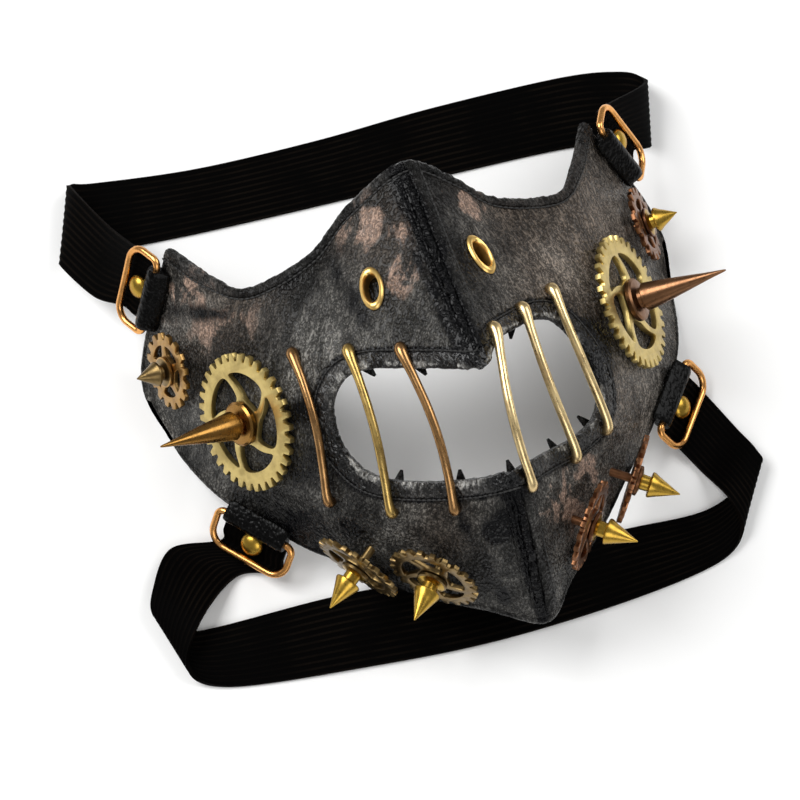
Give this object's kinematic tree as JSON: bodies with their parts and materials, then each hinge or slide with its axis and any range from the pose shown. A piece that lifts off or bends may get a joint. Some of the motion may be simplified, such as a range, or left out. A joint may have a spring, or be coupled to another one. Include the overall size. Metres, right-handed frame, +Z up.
{
  "type": "steampunk half-face mask",
  "caption": "Half-face leather costume mask with a barred mouth, nostril eyelets, gears and spikes, and elastic head and neck straps on wire rings, lying face up.",
  "frame": {"origin": "middle of the bounding box, on the floor that the mask lies on", "axes": "+X to the mask's right as seen from the front, +Y from the chin to the nose, +Z up out of the face"},
  "size_m": [0.214, 0.1996, 0.0804],
  "materials": {
    "leather": "distressed, semi-gloss",
    "elastic": "ribbed woven elastic, matt",
    "gold": "aged gold",
    "antique_brass": "antique, satin",
    "bronze": "polished bronze"
  },
  "bodies": {
    "root": {"panel_left": "leather", "cheek_gear_left": "antique_brass", "cheek_spike_left": "bronze", "temple_gear_left": "antique_brass", "temple_spike_left": "gold", "jaw_outer_gear_left": "antique_brass", "jaw_outer_spike_left": "gold", "jaw_inner_gear_left": "antique_brass", "jaw_inner_spike_left": "gold", "nostril_eyelet_left": "gold", "strap_ring_upper_left": "gold", "strap_tab_upper_left": "leather", "tab_rivet_upper_left": "gold", "strap_ring_lower_left": "gold", "strap_tab_lower_left": "leather", "tab_rivet_lower_left": "gold", "panel_right": "leather", "cheek_gear_right": "antique_brass", "cheek_spike_right": "bronze", "temple_gear_right": "antique_brass", "temple_spike_right": "gold", "jaw_outer_gear_right": "antique_brass", "jaw_outer_spike_right": "gold", "jaw_inner_gear_right": "antique_brass", "jaw_inner_spike_right": "gold", "nostril_eyelet_right": "gold", "strap_ring_upper_right": "gold", "strap_tab_upper_right": "leather", "tab_rivet_upper_right": "gold", "strap_ring_lower_right": "gold", "strap_tab_lower_right": "leather", "tab_rivet_lower_right": "gold", "mouth_bar_1": "gold", "mouth_bar_2": "gold", "mouth_bar_3": "gold", "mouth_bar_4": "gold", "mouth_bar_5": "gold", "mouth_bar_6": "gold", "upper_strap": "elastic", "lower_strap": "elastic"}
  },
  "joints": []
}
